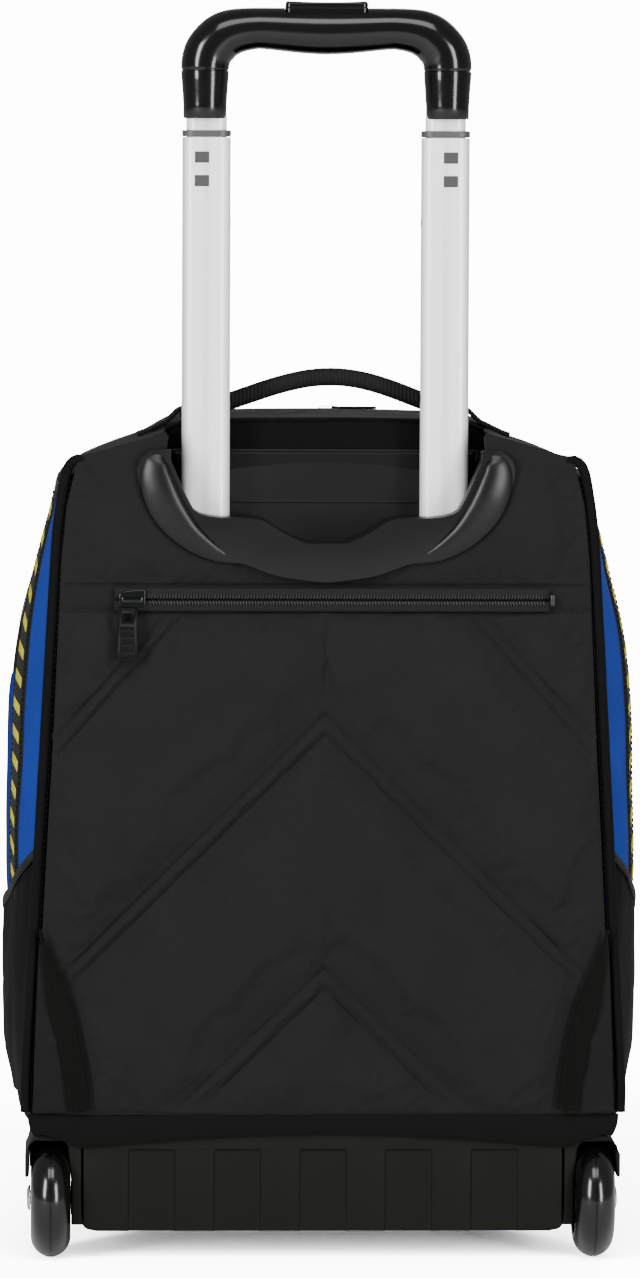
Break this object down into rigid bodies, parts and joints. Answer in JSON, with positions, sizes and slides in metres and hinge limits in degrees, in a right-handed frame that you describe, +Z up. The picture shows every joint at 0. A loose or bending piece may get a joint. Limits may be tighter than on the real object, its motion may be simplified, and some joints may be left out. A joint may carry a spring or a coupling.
{
  "type": "wheeled backpack",
  "caption": "Soft wheeled backpack with a two-stage trolley handle, quilted back panel, moulded base and side wheels.",
  "frame": {"origin": "on the ground, below the middle of the bag", "axes": "+Z up, -Y out of the back panel with the wheels and handle, +Y out of the front pockets, +X to the right as seen from behind"},
  "size_m": [0.3766, 0.2552, 0.715],
  "materials": {
    "back_fabric": "fine matt polyester weave",
    "side_fabric": "blue polyester weave",
    "webbing": "ribbed webbing",
    "zip_tape": "woven tape with moulded teeth",
    "gunmetal": "polished dark metal",
    "satin_plastic": "satin moulded",
    "base_plastic": "fine moulded texture",
    "collar_plastic": "satin",
    "gloss_black": "glossy",
    "wheel_black": "glossy polyurethane",
    "aluminium": "satin anodised",
    "steel": "turned",
    "rubber": "matt"
  },
  "bodies": {
    "bag": {"main_body": "side_fabric", "back_board": "base_plastic", "back_panel": "back_fabric", "trolley_lining": "back_fabric", "lower_band": "back_fabric", "front_pocket_lower": "back_fabric", "main_zip_body_side": "zip_tape", "back_zip_chain": "zip_tape", "handle_cup": "satin_plastic", "trolley_foot_bar": "base_plastic", "base_tray": "base_plastic", "piping_left": "back_fabric", "piping_right": "back_fabric", "corner_webbing_left": "webbing", "corner_webbing_right": "webbing", "side_pocket_left": "back_fabric", "side_pocket_right": "back_fabric", "shoulder_strap_left": "webbing", "shoulder_strap_right": "webbing", "handle_tab_left": "webbing", "handle_tab_right": "webbing", "guide_sleeve_left": "base_plastic", "guide_sleeve_right": "base_plastic", "wheel_housing_left": "base_plastic", "wheel_housing_right": "base_plastic", "wheel_axle_left": "steel", "wheel_axle_right": "steel", "front_foot_left": "rubber", "front_foot_right": "rubber"},
    "outer_stage": {"outer_tube_left": "aluminium", "outer_tube_right": "aluminium", "tube_collar_left": "collar_plastic", "tube_collar_right": "collar_plastic"},
    "inner_stage": {"grip": "gloss_black", "inner_tube_left": "aluminium", "inner_tube_right": "aluminium", "lock_housing_left": "base_plastic", "lock_housing_right": "base_plastic", "lock_spring_left": "steel", "lock_spring_right": "steel"},
    "button": {"release_button": "gloss_black", "release_yoke": "base_plastic"},
    "pin_left": {"lock_pin_left": "steel"},
    "pin_right": {"lock_pin_right": "steel"},
    "wheel_left": {"tyre_left": "wheel_black", "wheel_hub_left": "gloss_black"},
    "wheel_right": {"tyre_right": "wheel_black", "wheel_hub_right": "gloss_black"},
    "lid": {"front_lid": "side_fabric", "front_pocket_upper": "back_fabric", "main_zip_lid_side": "zip_tape", "front_zip_chain": "zip_tape"},
    "main_slider": {"main_zip_slider": "gunmetal"},
    "main_pull": {"main_zip_pull": "gunmetal"},
    "back_slider": {"back_zip_slider": "gunmetal"},
    "back_pull": {"back_zip_pull": "gunmetal"},
    "front_slider": {"front_zip_slider": "gunmetal"},
    "front_pull": {"front_zip_pull": "gunmetal"},
    "carry_handle": {"carry_handle": "webbing"}
  },
  "joints": [
    {"name": "handle_outer_slide", "type": "slide", "parent": "bag", "child": "outer_stage", "axis": [0, 0, 1], "range_m": [-0.215, 0]},
    {"name": "handle_inner_slide", "type": "slide", "parent": "outer_stage", "child": "inner_stage", "axis": [0, 0, 1], "range_m": [0, 0.2]},
    {"name": "release_button_press", "type": "slide", "parent": "inner_stage", "child": "button", "axis": [0, 0, -1], "range_m": [0, 0.004], "stiffness_N_per_m": 800, "springref_m": -0.003},
    {"name": "lock_pin_slide_left", "type": "slide", "parent": "inner_stage", "child": "pin_left", "axis": [-1, 0, 0], "range_m": [0, 0.002], "deforming": ["lock_spring_left"]},
    {"name": "lock_pin_slide_right", "type": "slide", "parent": "inner_stage", "child": "pin_right", "axis": [1, 0, 0], "range_m": [0, 0.002], "deforming": ["lock_spring_right"]},
    {"name": "wheel_spin_left", "type": "hinge", "parent": "bag", "child": "wheel_left", "pos_m": [-0.155, -0.094, 0.0336], "axis": [1, 0, 0], "continuous": true},
    {"name": "wheel_spin_right", "type": "hinge", "parent": "bag", "child": "wheel_right", "pos_m": [0.155, -0.094, 0.0336], "axis": [1, 0, 0], "continuous": true},
    {"name": "lid_open", "type": "hinge", "parent": "bag", "child": "lid", "pos_m": [0, 0.1115, 0.2], "axis": [-1, 0, 0], "range_deg": [0, 100]},
    {"name": "main_zip_slide", "type": "slide", "parent": "bag", "child": "main_slider", "axis": [1, 0, 0], "range_m": [0, 0.065]},
    {"name": "main_zip_pull_swing", "type": "hinge", "parent": "main_slider", "child": "main_pull", "pos_m": [0.009, 0.04, 0.4847], "axis": [0, -1, 0], "range_deg": [0, 170]},
    {"name": "back_zip_slide", "type": "slide", "parent": "bag", "child": "back_slider", "axis": [1, 0, 0], "range_m": [0, 0.228]},
    {"name": "back_zip_pull_swing", "type": "hinge", "parent": "back_slider", "child": "back_pull", "pos_m": [-0.1123, -0.1188, 0.3719], "axis": [-1, 0, 0], "range_deg": [0, 150]},
    {"name": "front_zip_slide", "type": "slide", "parent": "lid", "child": "front_slider", "axis": [1, 0, 0], "range_m": [0, 0.186]},
    {"name": "front_zip_pull_swing", "type": "hinge", "parent": "front_slider", "child": "front_pull", "pos_m": [-0.0933, 0.1264, 0.3468], "axis": [1, 0, 0], "range_deg": [0, 150]},
    {"name": "carry_handle_tilt", "type": "hinge", "parent": "bag", "child": "carry_handle", "pos_m": [0, -0.058, 0.482], "axis": [-1, 0, 0], "range_deg": [-10, 80]}
  ],
  "couplings": [
    {"joint": "lock_pin_slide_left", "follows": "release_button_press", "ratio": 0.5},
    {"joint": "lock_pin_slide_right", "follows": "release_button_press", "ratio": 0.5}
  ]
}
